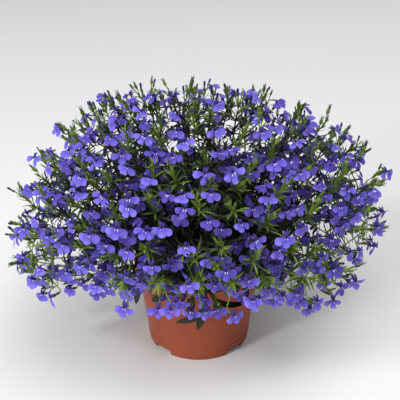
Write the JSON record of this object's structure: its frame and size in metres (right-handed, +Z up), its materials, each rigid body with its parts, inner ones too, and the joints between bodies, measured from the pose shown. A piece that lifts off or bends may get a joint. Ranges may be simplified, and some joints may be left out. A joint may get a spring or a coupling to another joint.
{
  "type": "potted trailing lobelia",
  "caption": "Trailing lobelia in full bloom: a loose dome of small violet-blue lipped flowers on thin leafy stems, standing in a tapered terracotta-coloured plastic pot.",
  "frame": {"origin": "middle of the pot's foot, on the surface the pot stands on, which is also the middle of the box round the plant", "axes": "+Z up along the pot's axis; +X to the plant's right and +Y away from the side that its blooms face"},
  "size_m": [0.3412, 0.2981, 0.2544],
  "materials": {
    "pot": "satin",
    "soil": "matte",
    "leaf": "satin",
    "bloom": "satin"
  },
  "bodies": {
    "root": {"pot": "pot", "soil": "soil", "leafy_stem_01": "leaf", "raceme_01": "bloom", "leafy_stem_02": "leaf", "raceme_02": "bloom", "leafy_stem_03": "leaf", "raceme_03": "bloom", "leafy_stem_04": "leaf", "raceme_04": "bloom", "leafy_stem_05": "leaf", "raceme_05": "bloom", "leafy_stem_06": "leaf", "raceme_06": "bloom", "leafy_stem_07": "leaf", "raceme_07": "bloom", "leafy_stem_08": "leaf", "raceme_08": "bloom", "leafy_stem_09": "leaf", "raceme_09": "bloom", "leafy_stem_10": "leaf", "raceme_10": "bloom", "leafy_stem_11": "leaf", "raceme_11": "bloom", "leafy_stem_12": "leaf", "raceme_12": "bloom", "leafy_stem_13": "leaf", "raceme_13": "bloom", "leafy_stem_14": "leaf", "raceme_14": "bloom", "leafy_stem_15": "leaf", "raceme_15": "bloom", "leafy_stem_16": "leaf", "raceme_16": "bloom", "leafy_stem_17": "leaf", "raceme_17": "bloom", "leafy_stem_18": "leaf", "raceme_18": "bloom", "leafy_stem_19": "leaf", "raceme_19": "bloom", "leafy_stem_20": "leaf", "raceme_20": "bloom", "leafy_stem_21": "leaf", "raceme_21": "bloom", "leafy_stem_22": "leaf", "raceme_22": "bloom", "leafy_stem_23": "leaf", "raceme_23": "bloom", "leafy_stem_24": "leaf", "raceme_24": "bloom", "basal_leaf_01": "leaf", "basal_leaf_02": "leaf", "basal_leaf_03": "leaf", "basal_leaf_04": "leaf", "basal_leaf_05": "leaf"}
  },
  "joints": []
}
